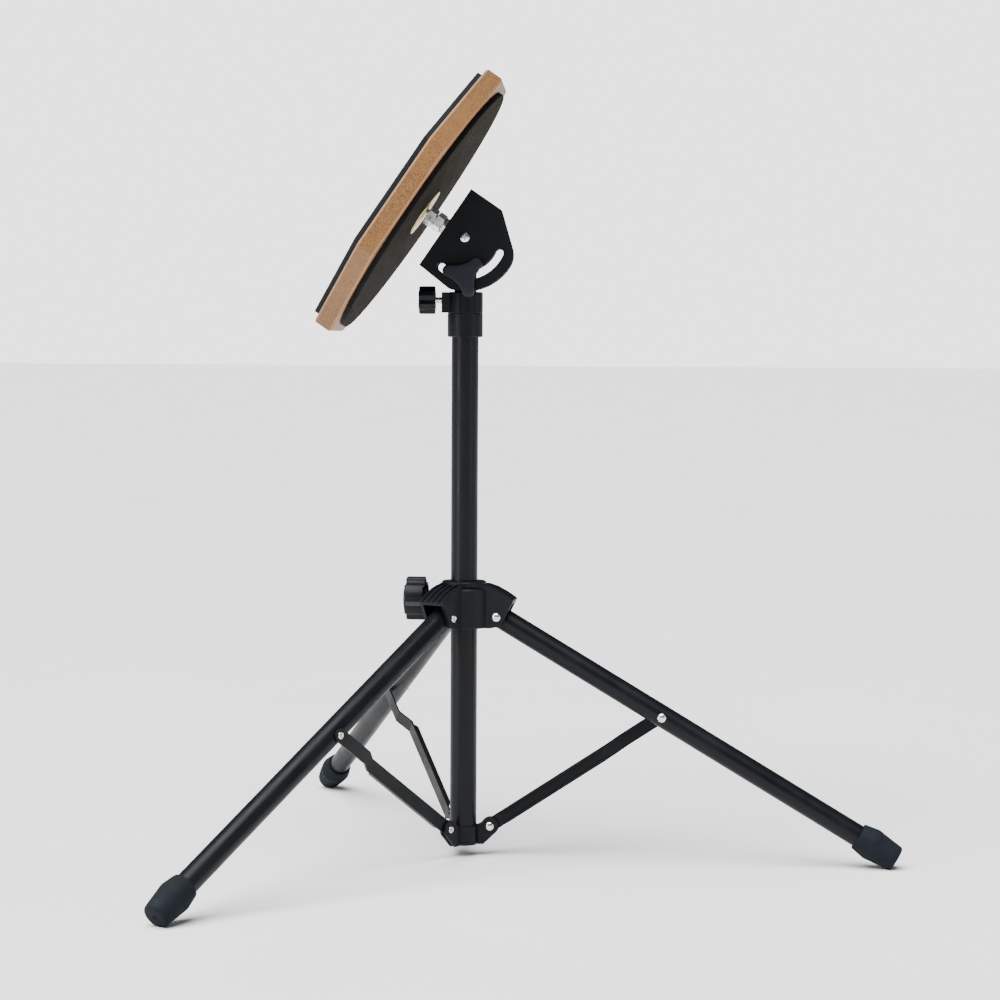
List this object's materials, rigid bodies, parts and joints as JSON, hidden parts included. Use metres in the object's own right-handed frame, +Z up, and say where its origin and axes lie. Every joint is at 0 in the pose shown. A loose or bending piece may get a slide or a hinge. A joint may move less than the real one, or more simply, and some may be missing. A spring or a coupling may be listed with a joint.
{
  "type": "drum practice pad",
  "caption": "Octagonal wooden drum practice pad with rubber playing face, tilting on a height-adjustable column with a folding tripod base.",
  "frame": {"origin": "on the floor, on the axis of the centre column, where the feet's plane meets it", "axes": "+Z up along the column; Y along the tilt axis of the head; the pad is on the -X side of the column"},
  "size_m": [0.6653, 0.7216, 0.7407],
  "materials": {
    "satin_black_tube": "satin",
    "black_sheet_steel": "satin",
    "black_plastic": "satin",
    "knob_plastic": "matte",
    "black_rubber": "matte",
    "pad_rubber": "matte",
    "back_rubber": "matte",
    "board_wood": "satin",
    "zinc_steel": "satin",
    "bright_rivet": "polished",
    "brass_insert": "satin",
    "white_nylon": "matte"
  },
  "bodies": {
    "column": {"column_tube": "satin_black_tube", "column_plug": "black_plastic", "bottom_bracket": "black_sheet_steel", "bracket_rivets": "bright_rivet", "collar": "black_plastic", "collar_nut": "zinc_steel", "collar_shoe": "brass_insert"},
    "collar_knob": {"collar_knob": "knob_plastic", "collar_screw": "zinc_steel"},
    "hub": {"hub": "black_plastic", "hub_rivets": "bright_rivet", "hub_nut": "zinc_steel", "hub_shoe": "brass_insert"},
    "hub_knob": {"hub_knob": "knob_plastic", "hub_knob_cap": "knob_plastic", "hub_screw": "zinc_steel"},
    "leg_a": {"leg_tube_a": "satin_black_tube", "leg_plug_a": "black_plastic", "foot_a": "black_rubber", "leg_rivet_a": "bright_rivet"},
    "strut_a": {"strut_a": "black_sheet_steel", "strut_eyelet_a": "bright_rivet"},
    "leg_b": {"leg_tube_b": "satin_black_tube", "leg_plug_b": "black_plastic", "foot_b": "black_rubber", "leg_rivet_b": "bright_rivet"},
    "strut_b": {"strut_b": "black_sheet_steel", "strut_eyelet_b": "bright_rivet"},
    "leg_c": {"leg_tube_c": "satin_black_tube", "leg_plug_c": "black_plastic", "foot_c": "black_rubber", "leg_rivet_c": "bright_rivet"},
    "strut_c": {"strut_c": "black_sheet_steel", "strut_eyelet_c": "bright_rivet"},
    "guide": {"guide_bush": "white_nylon"},
    "post": {"post_tube": "satin_black_tube", "post_stop": "white_nylon", "post_core": "black_plastic", "pivot_bolt": "zinc_steel", "pivot_nut": "zinc_steel", "clamp_bolt": "zinc_steel", "clamp_washer": "zinc_steel"},
    "wing_knob": {"wing_knob": "knob_plastic", "wing_insert": "brass_insert"},
    "head": {"tilt_bracket": "black_sheet_steel", "pad_stud": "zinc_steel", "stud_washer": "zinc_steel", "lock_washer": "zinc_steel", "thin_washer": "zinc_steel", "stud_nut": "zinc_steel", "pad_nut": "zinc_steel", "pad_board": "board_wood", "strike_face": "pad_rubber", "back_pad": "back_rubber", "stud_insert": "brass_insert"}
  },
  "joints": [
    {"name": "hub_slide", "type": "slide", "parent": "column", "child": "hub", "axis": [0, 0, 1], "range_m": [0, 0.1739]},
    {"name": "leg_a_fold", "type": "hinge", "parent": "hub", "child": "leg_a", "pos_m": [-0.01944, -0.02666, 0.2306], "axis": [0.808, -0.5892, 0], "range_deg": [0, 51.9]},
    {"name": "strut_a_fold", "type": "hinge", "parent": "column", "child": "strut_a", "pos_m": [-0.01508, -0.02068, 0.0285], "axis": [-0.808, 0.5892, 0], "range_deg": [0, 47.1]},
    {"name": "leg_b_fold", "type": "hinge", "parent": "hub", "child": "leg_b", "pos_m": [0.03281, -0.00351, 0.2306], "axis": [0.1063, 0.9943, 0], "range_deg": [0, 51.9]},
    {"name": "strut_b_fold", "type": "hinge", "parent": "column", "child": "strut_b", "pos_m": [0.02545, -0.00272, 0.0285], "axis": [-0.1063, -0.9943, 0], "range_deg": [0, 47.1]},
    {"name": "leg_c_fold", "type": "hinge", "parent": "hub", "child": "leg_c", "pos_m": [-0.01337, 0.03017, 0.2306], "axis": [-0.9143, -0.4051, 0], "range_deg": [0, 51.9]},
    {"name": "strut_c_fold", "type": "hinge", "parent": "column", "child": "strut_c", "pos_m": [-0.01037, 0.0234, 0.0285], "axis": [0.9143, 0.4051, 0], "range_deg": [0, 47.1]},
    {"name": "hub_knob_turn", "type": "hinge", "parent": "hub", "child": "hub_knob", "pos_m": [0, 0, 0.2461], "axis": [-0.9943, 0.1063, 0], "continuous": true},
    {"name": "collar_knob_turn", "type": "hinge", "parent": "column", "child": "collar_knob", "pos_m": [0, 0, 0.5298], "axis": [-1, 0, 0], "continuous": true},
    {"name": "height_slide", "type": "slide", "parent": "column", "child": "guide", "axis": [0, 0, 1], "range_m": [0, 0.25]},
    {"name": "head_swivel", "type": "hinge", "parent": "guide", "child": "post", "pos_m": [0, 0, 0.4], "axis": [0, 0, 1], "range_deg": [-35, 220]},
    {"name": "pad_tilt", "type": "hinge", "parent": "post", "child": "head", "pos_m": [0, 0, 0.5884], "axis": [0, 1, 0], "range_deg": [-34, 65.5]},
    {"name": "wing_knob_turn", "type": "hinge", "parent": "post", "child": "wing_knob", "pos_m": [0, -0.02, 0.5529], "axis": [0, -1, 0], "continuous": true}
  ],
  "couplings": [
    {"joint": "leg_a_fold", "follows": "hub_slide", "rad_per_m": 5.1788},
    {"joint": "strut_a_fold", "follows": "hub_slide", "rad_per_m": 4.6975},
    {"joint": "leg_b_fold", "follows": "hub_slide", "rad_per_m": 5.1788},
    {"joint": "strut_b_fold", "follows": "hub_slide", "rad_per_m": 4.6975},
    {"joint": "leg_c_fold", "follows": "hub_slide", "rad_per_m": 5.1788},
    {"joint": "strut_c_fold", "follows": "hub_slide", "rad_per_m": 4.6975}
  ]
}
